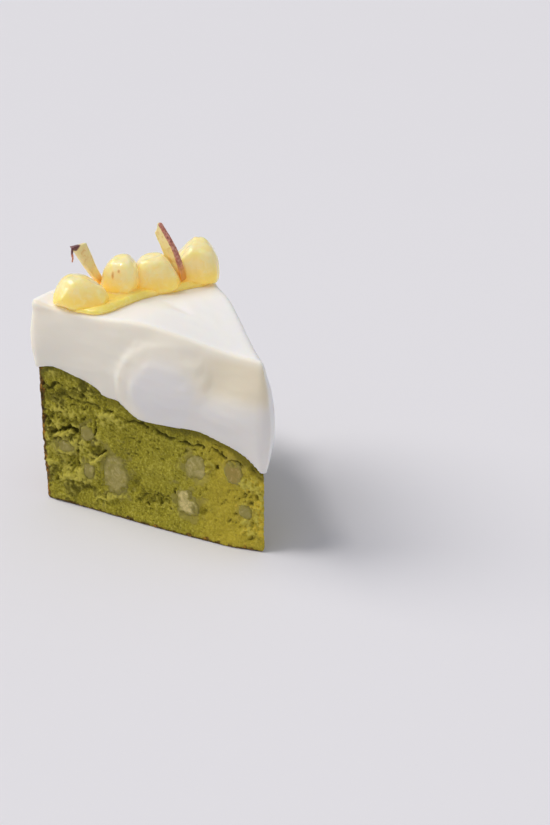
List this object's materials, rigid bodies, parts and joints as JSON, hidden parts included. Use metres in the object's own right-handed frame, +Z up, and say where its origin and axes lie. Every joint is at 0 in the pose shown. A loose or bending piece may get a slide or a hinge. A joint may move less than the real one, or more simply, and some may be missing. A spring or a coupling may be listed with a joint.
{
  "type": "slice of layered cheesecake with cream and fruit compote",
  "caption": "Wedge of green baked cheesecake with fruit baked in, under a thick cream cap topped with a row of fruit compote and thin peeled slices.",
  "frame": {"origin": "centre of the bounding box at the level of the flat base", "axes": "+Z up, +Y from the wedge's tip towards its baked rim, +X to the right when seen from the tip"},
  "size_m": [0.0764, 0.0952, 0.099],
  "materials": {
    "matcha_cheesecake": "moist dense crumb, matte, with a browned rim",
    "whipped_cream": "smooth set cream, soft satin",
    "compote_syrup": "clear yellow syrup, glossy",
    "compote_fruit": "translucent cooked fruit under syrup, glossy",
    "peeled_slice": "half-dried fruit slice with a dark red peel edge, satin",
    "baked_fruit": "moist baked fruit stained by the green crumb, satin"
  },
  "bodies": {
    "root": {"cheesecake": "matcha_cheesecake", "cream_cap": "whipped_cream", "compote_syrup": "compote_syrup", "fruit_chunk_1": "compote_fruit", "fruit_chunk_2": "compote_fruit", "fruit_chunk_3": "compote_fruit", "fruit_chunk_4": "compote_fruit", "peeled_slice_1": "peeled_slice", "peeled_slice_2": "peeled_slice", "baked_fruit_1": "baked_fruit", "baked_fruit_2": "baked_fruit", "baked_fruit_3": "baked_fruit", "baked_fruit_4": "baked_fruit", "baked_fruit_5": "baked_fruit", "baked_fruit_6": "baked_fruit", "baked_fruit_7": "baked_fruit", "baked_fruit_8": "baked_fruit", "baked_fruit_9": "baked_fruit", "baked_fruit_10": "baked_fruit", "baked_fruit_11": "baked_fruit", "baked_fruit_12": "baked_fruit", "baked_fruit_13": "baked_fruit"}
  },
  "joints": []
}
